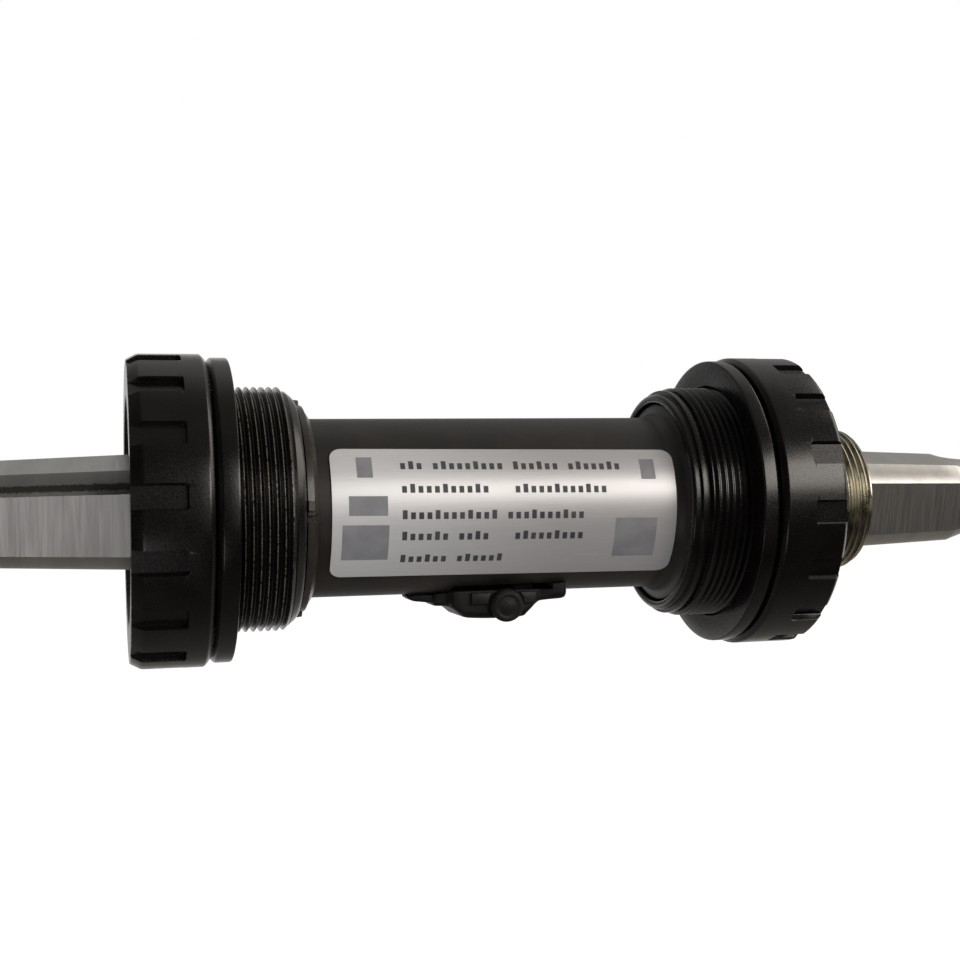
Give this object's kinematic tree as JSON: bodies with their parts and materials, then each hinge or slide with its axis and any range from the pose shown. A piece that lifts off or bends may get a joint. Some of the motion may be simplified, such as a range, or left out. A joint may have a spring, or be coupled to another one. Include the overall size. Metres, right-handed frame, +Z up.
{
  "type": "bottom bracket torque sensor",
  "caption": "Bicycle bottom bracket torque sensor: square-taper spindle through a black labelled tube between notched threaded cups, with a lead outlet below",
  "frame": {"origin": "on the spindle's axis, midway between its ends and between the two spacers, at the middle of the frame shell that holds the part", "axes": "+X along the spindle towards the drive side, +Z up with the lead outlet underneath, the label faces -Y"},
  "size_m": [0.163, 0.044, 0.044],
  "materials": {
    "black_anodised": "satin black anodising",
    "spindle_steel": "ground steel",
    "plated_steel": "nickel-zinc plating",
    "bearing_steel": "polished bearing steel",
    "rubber": "matt nitrile rubber",
    "moulded_black": "fine-grained moulding",
    "silver_film": "satin silver film",
    "magnet_ferrite": "sintered ferrite",
    "bobbin_nylon": "natural nylon",
    "coil_copper": "enamelled copper wire",
    "board_green": "solder resist",
    "chip_black": "moulded epoxy",
    "bush_polymer": "filled bearing polymer"
  },
  "bodies": {
    "housing": {"housing_tube": "black_anodised", "rating_label": "silver_film", "outlet_cover": "moulded_black", "outlet_plug": "rubber", "circuit_board": "board_green", "sensor_chip": "chip_black", "control_chip": "chip_black", "coil_bobbin": "bobbin_nylon", "left_coil": "coil_copper", "middle_coil": "coil_copper", "right_coil": "coil_copper", "left_bush": "bush_polymer", "right_bush": "bush_polymer", "right_o_ring": "rubber"},
    "spindle_set": {"spindle": "spindle_steel", "torque_sleeve": "plated_steel", "sleeve_circlip": "bearing_steel", "magnet_ring": "magnet_ferrite", "left_bearing_inner": "bearing_steel", "right_bearing_inner": "bearing_steel"},
    "left_balls": {"left_ball_cage": "bearing_steel"},
    "right_balls": {"right_ball_cage": "bearing_steel"},
    "left_cup_set": {"left_cup": "black_anodised", "left_spacer": "black_anodised", "left_nose_ring": "moulded_black", "left_bearing_outer": "bearing_steel", "left_seal": "rubber", "left_o_ring": "rubber"},
    "right_cup_set": {"right_cup": "black_anodised", "right_spacer": "black_anodised", "right_bearing_outer": "bearing_steel", "right_seal": "rubber"}
  },
  "joints": [
    {"name": "spindle_spin", "type": "hinge", "parent": "housing", "child": "spindle_set", "pos_m": [0, 0, 0], "axis": [1, 0, 0], "continuous": true},
    {"name": "left_ball_orbit", "type": "hinge", "parent": "housing", "child": "left_balls", "pos_m": [0, 0, 0], "axis": [1, 0, 0], "continuous": true},
    {"name": "right_ball_orbit", "type": "hinge", "parent": "housing", "child": "right_balls", "pos_m": [0, 0, 0], "axis": [1, 0, 0], "continuous": true},
    {"name": "left_cup_turn", "type": "hinge", "parent": "housing", "child": "left_cup_set", "pos_m": [0, 0, 0], "axis": [1, 0, 0], "continuous": true},
    {"name": "right_cup_turn", "type": "hinge", "parent": "housing", "child": "right_cup_set", "pos_m": [0, 0, 0], "axis": [1, 0, 0], "continuous": true}
  ],
  "couplings": [
    {"joint": "left_ball_orbit", "follows": "spindle_spin", "ratio": 0.4286},
    {"joint": "right_ball_orbit", "follows": "spindle_spin", "ratio": 0.4537}
  ]
}
